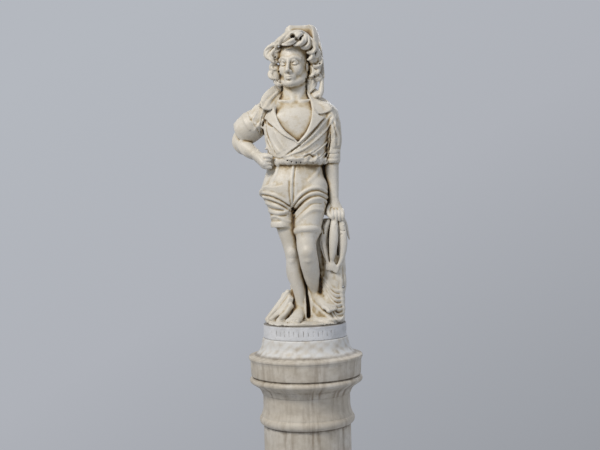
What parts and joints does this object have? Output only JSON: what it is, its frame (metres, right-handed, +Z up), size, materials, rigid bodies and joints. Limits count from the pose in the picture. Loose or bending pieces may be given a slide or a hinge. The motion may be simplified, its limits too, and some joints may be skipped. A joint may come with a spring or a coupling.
{
  "type": "marble statue of a fisher boy on a turned pedestal",
  "caption": "Carved marble figure of a standing fisher boy leaning on a net-draped stump, on a round titled plinth and a turned marble column pedestal with a square foot.",
  "frame": {"origin": "centre of the pedestal's underside, on the floor", "axes": "+Z up, -Y the front that the boy faces, +X to his left"},
  "size_m": [0.3662, 0.344, 1.772],
  "materials": {
    "statuary_marble": "honed marble with brown dirt in the hollows",
    "title_marble": "honed white-grey marble",
    "pedestal_marble": "weathered marble with brown streaks"
  },
  "bodies": {
    "root": {"fisher_boy": "statuary_marble", "title_plinth": "title_marble", "pedestal_cap": "pedestal_marble", "pedestal_shaft": "pedestal_marble", "pedestal_base": "pedestal_marble"}
  },
  "joints": []
}
